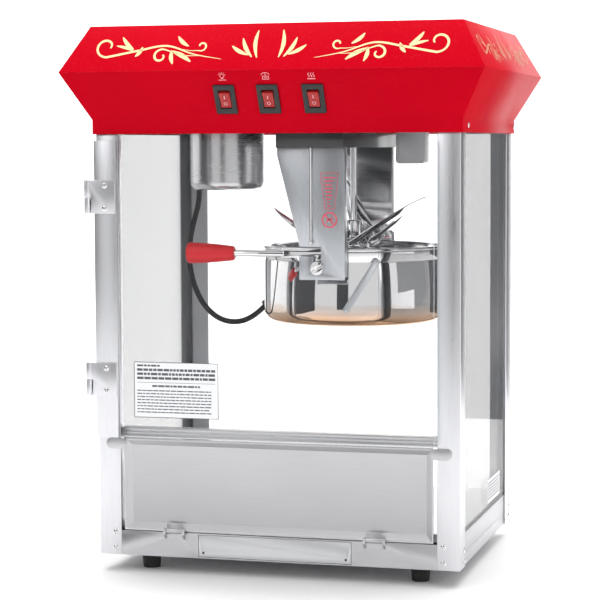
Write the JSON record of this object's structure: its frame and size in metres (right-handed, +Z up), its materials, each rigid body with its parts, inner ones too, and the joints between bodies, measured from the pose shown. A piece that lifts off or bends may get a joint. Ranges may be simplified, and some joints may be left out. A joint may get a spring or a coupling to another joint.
{
  "type": "popcorn maker",
  "caption": "Countertop popcorn maker: glazed aluminium case, flared red canopy, tilting kettle on a hanger, side-hinged clear door, drop panel and kernel drawer.",
  "frame": {"origin": "centre of the footprint at table level, under the feet", "axes": "+Z up, +X to the right seen from the door, +Y to the rear"},
  "size_m": [0.512, 0.416, 0.656],
  "materials": {
    "aluminium": "satin anodised sheet",
    "rubber": "matte",
    "galvanised": "zinc-coated sheet",
    "deck_steel": "brushed stainless sheet",
    "case_glass": "clear tempered",
    "door_acrylic": "clear acrylic",
    "canopy_red": "gloss powder coat",
    "black_plastic": "moulded",
    "rocker_red": "translucent red",
    "motor_grey": "painted casting",
    "bridge_black": "satin black",
    "hanger_steel": "brushed",
    "polished_steel": "mirror polished stainless",
    "heater_iron": "cast heater plate",
    "grip_red": "moulded heat-resistant",
    "cord_black": "smooth jacket",
    "box_white": "satin light grey",
    "lamp_ceramic": "glazed ceramic",
    "bulb_glass": "frosted",
    "screw_chrome": "plated"
  },
  "bodies": {
    "case": {"base_pan": "galvanised", "bridge": "bridge_black", "canopy_shell": "canopy_red", "canopy_top": "canopy_red", "case_hinge_leaves": "aluminium", "case_screws": "screw_chrome", "ceiling_plate": "galvanised", "deck": "deck_steel", "drawer_guides": "galvanised", "feet": "rubber", "front_hanger_plate": "hanger_steel", "front_left_post": "aluminium", "front_rail": "aluminium", "front_right_post": "aluminium", "front_sill": "aluminium", "gear_motor": "motor_grey", "heater_switch_body": "black_plastic", "hinge_pins": "screw_chrome", "junction_box": "box_white", "keeper_rod": "polished_steel", "kettle_cord": "cord_black", "lamp_bulb": "bulb_glass", "lamp_holder": "lamp_ceramic", "mains_inlet": "black_plastic", "motor_switch_body": "black_plastic", "rear_glass": "case_glass", "rear_hanger_plate": "hanger_steel", "rear_left_post": "aluminium", "rear_rail": "galvanised", "rear_right_post": "aluminium", "side_glass": "case_glass", "side_rails": "aluminium", "socket_can": "hanger_steel", "warmer_switch_body": "black_plastic"},
    "drive": {"drive_shaft": "polished_steel", "drive_coupler": "polished_steel"},
    "kettle": {"kettle_shell": "polished_steel", "kettle_pot": "polished_steel", "heater_plate": "heater_iron", "kettle_pivots": "polished_steel", "kettle_handle": "polished_steel", "handle_grip": "grip_red", "lid_crossbar": "polished_steel", "flap_rods": "polished_steel", "kettle_strap": "hanger_steel", "cord_gland": "black_plastic"},
    "left_flap": {"left_flap": "polished_steel"},
    "right_flap": {"right_flap": "polished_steel"},
    "stirrer": {"stirrer": "polished_steel"},
    "door": {"door_pane": "door_acrylic", "door_stile": "aluminium", "door_hinge_leaves": "aluminium", "door_hinge_screws": "screw_chrome"},
    "panel": {"drop_panel": "aluminium", "panel_hinge_tabs": "aluminium"},
    "drawer": {"drawer_tray": "deck_steel", "drawer_front": "deck_steel"},
    "warmer_rocker": {"warmer_rocker": "rocker_red"},
    "motor_rocker": {"motor_rocker": "rocker_red"},
    "heater_rocker": {"heater_rocker": "rocker_red"}
  },
  "joints": [
    {"name": "door_hinge", "type": "hinge", "parent": "case", "child": "door", "pos_m": [-0.2305, -0.1835, 0.34], "axis": [0, 0, -1], "range_deg": [0, 110]},
    {"name": "panel_hinge", "type": "hinge", "parent": "case", "child": "panel", "pos_m": [0, -0.1781, 0.0525], "axis": [1, 0, 0], "range_deg": [0, 90]},
    {"name": "drawer_slide", "type": "slide", "parent": "case", "child": "drawer", "axis": [0, -1, 0], "range_m": [0, 0.15]},
    {"name": "kettle_tilt", "type": "hinge", "parent": "case", "child": "kettle", "pos_m": [0.041, 0, 0.368], "axis": [0, -1, 0], "range_deg": [0, 60], "deforming": ["kettle_cord"]},
    {"name": "right_flap_hinge", "type": "hinge", "parent": "kettle", "child": "right_flap", "pos_m": [0.066, 0, 0.396], "axis": [0, 1, 0], "range_deg": [0, 35]},
    {"name": "left_flap_hinge", "type": "hinge", "parent": "kettle", "child": "left_flap", "pos_m": [0.04, 0, 0.396], "axis": [0, -1, 0], "range_deg": [-40, 30]},
    {"name": "drive_spin", "type": "hinge", "parent": "case", "child": "drive", "pos_m": [0.053, 0, 0.45], "axis": [0, 0, 1], "continuous": true},
    {"name": "stirrer_spin", "type": "hinge", "parent": "kettle", "child": "stirrer", "pos_m": [0.053, 0, 0.35], "axis": [0, 0, 1], "continuous": true},
    {"name": "warmer_rocker_tilt", "type": "hinge", "parent": "case", "child": "warmer_rocker", "pos_m": [-0.054, -0.18848, 0.56901], "axis": [-1, 0, 0], "range_deg": [0, 16]},
    {"name": "motor_rocker_tilt", "type": "hinge", "parent": "case", "child": "motor_rocker", "pos_m": [-0.0015, -0.18848, 0.56901], "axis": [-1, 0, 0], "range_deg": [0, 16]},
    {"name": "heater_rocker_tilt", "type": "hinge", "parent": "case", "child": "heater_rocker", "pos_m": [0.053, -0.18848, 0.56901], "axis": [-1, 0, 0], "range_deg": [0, 16]}
  ],
  "couplings": [
    {"joint": "stirrer_spin", "follows": "drive_spin", "ratio": 1},
    {"joint": "right_flap_hinge", "follows": "kettle_tilt", "ratio": 0.58333}
  ]
}
